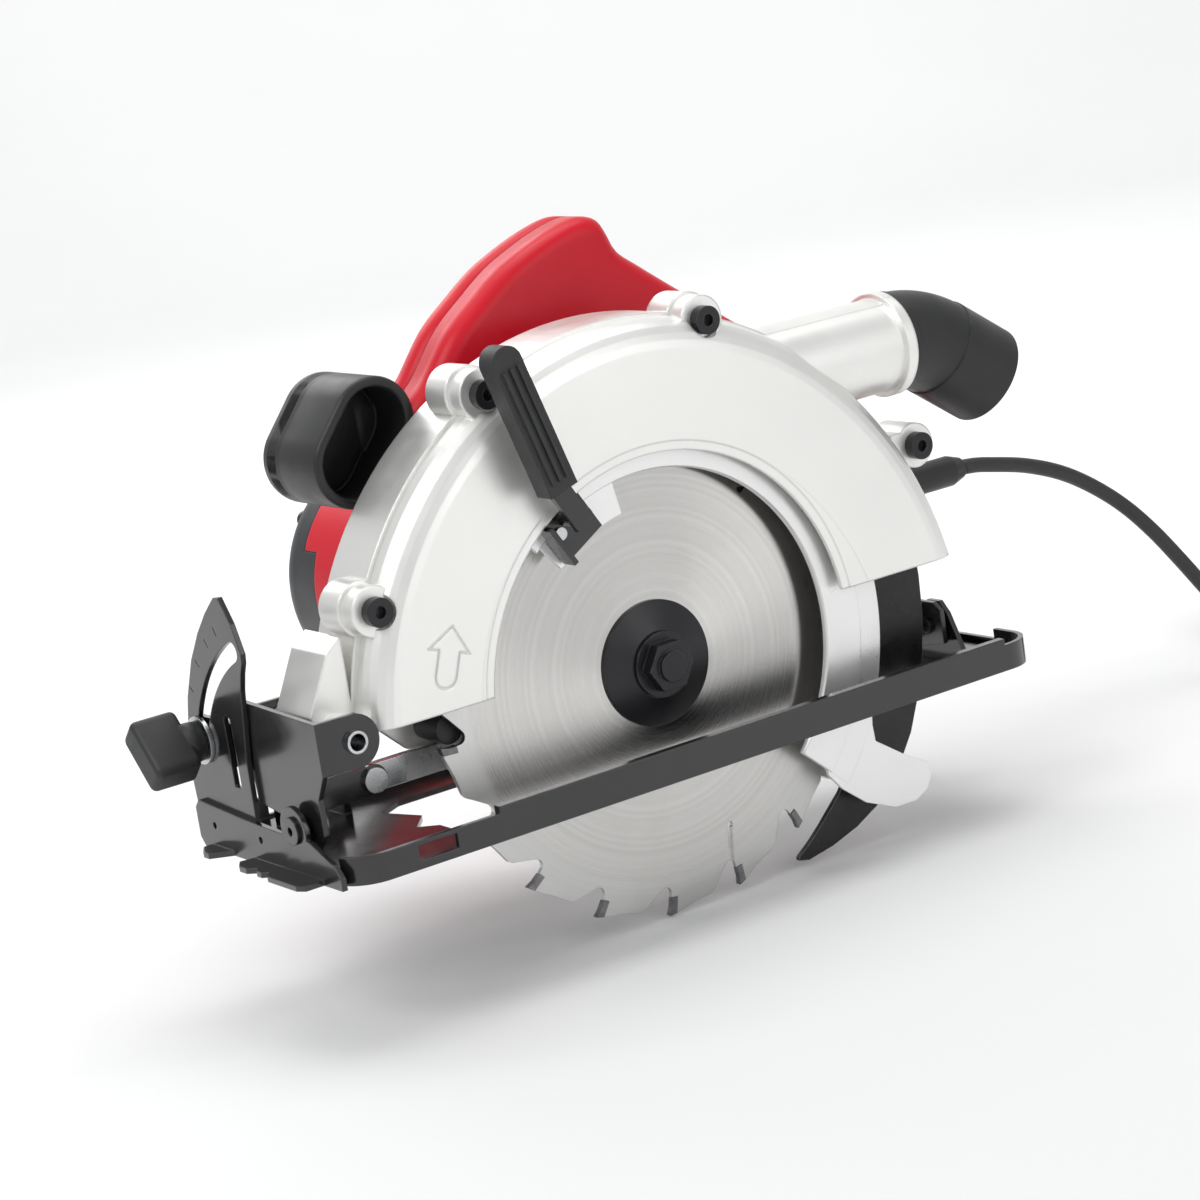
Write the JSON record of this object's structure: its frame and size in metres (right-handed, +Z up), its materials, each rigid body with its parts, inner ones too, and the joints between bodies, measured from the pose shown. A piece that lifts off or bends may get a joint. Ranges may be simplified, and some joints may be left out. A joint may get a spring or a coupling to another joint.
{
  "type": "circular saw",
  "caption": "Hand-held corded circular saw with tilting sole plate, swinging blade guard, dust elbow and front grip.",
  "frame": {"origin": "on the underside of the sole plate, in the blade plane, straight below the blade axis", "axes": "+X to the rear of the saw (where the cord leaves), +Y from the blade to the motor, +Z up"},
  "size_m": [0.6327, 0.174, 0.2536],
  "materials": {
    "black_paint": "gloss black stove enamel",
    "cast_silver": "satin silver casting",
    "guard_silver": "pale satin casting",
    "red_plastic": "semi-gloss moulded plastic",
    "grey_plastic": "fine textured plastic",
    "black_plastic": "matte moulded plastic",
    "rubber": "soft satin rubber",
    "blade_steel": "radially ground",
    "carbide": "ground carbide with braze",
    "black_steel": "black oxide",
    "zinc": "zinc plated",
    "steel": "machined",
    "copper": "copper",
    "laminations": "varnished laminations",
    "cable": "satin cable sheath"
  },
  "bodies": {
    "base": {"base_plate": "black_paint", "front_flange": "black_paint", "bevel_quadrant": "black_paint", "base_pivots": "zinc", "rear_lug": "black_paint"},
    "fence_clamp": {"fence_screw": "zinc"},
    "tilt_frame": {"tilt_bracket": "black_paint", "tie_strap": "zinc", "strap_rivet": "zinc", "depth_pin": "black_steel", "rear_bracket": "black_paint", "depth_arc": "black_paint", "bevel_bolt": "zinc"},
    "bevel_clamp": {"bevel_knob": "grey_plastic"},
    "saw_body": {"guard_shell": "cast_silver", "guard_cover": "cast_silver", "cover_screws": "black_steel", "guard_stop": "black_plastic", "gear_case": "cast_silver", "motor_housing": "red_plastic", "motor_cap": "grey_plastic", "cap_screws": "zinc", "stator": "laminations", "brushes": "black_plastic", "spindle_bearings": "steel", "motor_bearings": "steel", "handle_near": "red_plastic", "handle_far": "red_plastic", "handle_screws": "black_steel", "switch_block": "black_plastic", "aux_handle": "rubber", "aux_spacer": "zinc", "riving_knife": "black_steel", "knife_bolts": "black_steel", "depth_bolt": "zinc", "cord_sleeve": "cable", "cord": "cable", "cord_coil": "cable", "plug": "cable", "plug_pins": "zinc"},
    "blade_set": {"spindle": "steel", "blade": "blade_steel", "blade_tips": "carbide", "outer_flange": "black_steel", "blade_bolt": "black_steel", "spindle_gear": "steel"},
    "armature": {"armature_shaft": "steel", "armature_core": "laminations", "commutator": "copper", "fan": "grey_plastic"},
    "swing_guard": {"lower_guard": "guard_silver", "guard_bracket": "black_steel", "guard_rivets": "zinc", "guard_lever": "black_plastic"},
    "trigger": {"trigger": "black_plastic"},
    "lock_off": {"lock_button": "black_plastic"},
    "spindle_stop": {"spindle_lock": "black_plastic"},
    "elbow": {"dust_elbow": "rubber"},
    "depth_clamp": {"depth_lever": "black_plastic"}
  },
  "joints": [
    {"name": "bevel_tilt", "type": "hinge", "parent": "base", "child": "tilt_frame", "pos_m": [0, 0.0025, 0.017], "axis": [1, 0, 0], "range_deg": [0, 45]},
    {"name": "depth_swing", "type": "hinge", "parent": "tilt_frame", "child": "saw_body", "pos_m": [-0.136, 0.009, 0.0463], "axis": [0, -1, 0], "range_deg": [0, 20]},
    {"name": "bevel_knob_turn", "type": "hinge", "parent": "tilt_frame", "child": "bevel_clamp", "pos_m": [-0.165, 0.06353, 0.04079], "axis": [1, 0, 0], "continuous": true},
    {"name": "blade_spin", "type": "hinge", "parent": "saw_body", "child": "blade_set", "pos_m": [0, 0, 0.0365], "axis": [0, 1, 0], "continuous": true},
    {"name": "armature_spin", "type": "hinge", "parent": "saw_body", "child": "armature", "pos_m": [-0.027, 0.08, 0.06729], "axis": [0, 1, 0], "continuous": true},
    {"name": "lower_guard_swing", "type": "hinge", "parent": "saw_body", "child": "swing_guard", "pos_m": [0, 0, 0.0365], "axis": [0, 1, 0], "range_deg": [-8, 112]},
    {"name": "trigger_press", "type": "hinge", "parent": "saw_body", "child": "trigger", "pos_m": [0.093, 0.0605, 0.1155], "axis": [0, 1, 0], "range_deg": [0, 7], "stiffness_Nm_per_rad": 1.5, "springref_deg": -2.86},
    {"name": "lock_off_press", "type": "slide", "parent": "saw_body", "child": "lock_off", "axis": [0, -1, 0], "range_m": [0, 0.003], "stiffness_N_per_m": 400, "springref_m": -0.001},
    {"name": "spindle_lock_press", "type": "slide", "parent": "saw_body", "child": "spindle_stop", "axis": [0, -1, 0], "range_m": [0, 0.0023], "stiffness_N_per_m": 600, "springref_m": -0.001},
    {"name": "elbow_swivel", "type": "hinge", "parent": "saw_body", "child": "elbow", "pos_m": [0.129, 0.005, 0.1282], "axis": [1, 0, 0], "range_deg": [-120, 120]},
    {"name": "depth_lever_turn", "type": "hinge", "parent": "saw_body", "child": "depth_clamp", "pos_m": [0.0787, 0.034, 0.05755], "axis": [0, -1, 0], "range_deg": [0, 60]},
    {"name": "fence_screw_turn", "type": "hinge", "parent": "base", "child": "fence_clamp", "pos_m": [-0.118, 0.057, 0.0165], "axis": [0, 0, 1], "continuous": true}
  ],
  "couplings": [
    {"joint": "armature_spin", "follows": "blade_spin", "ratio": -4.7273}
  ]
}
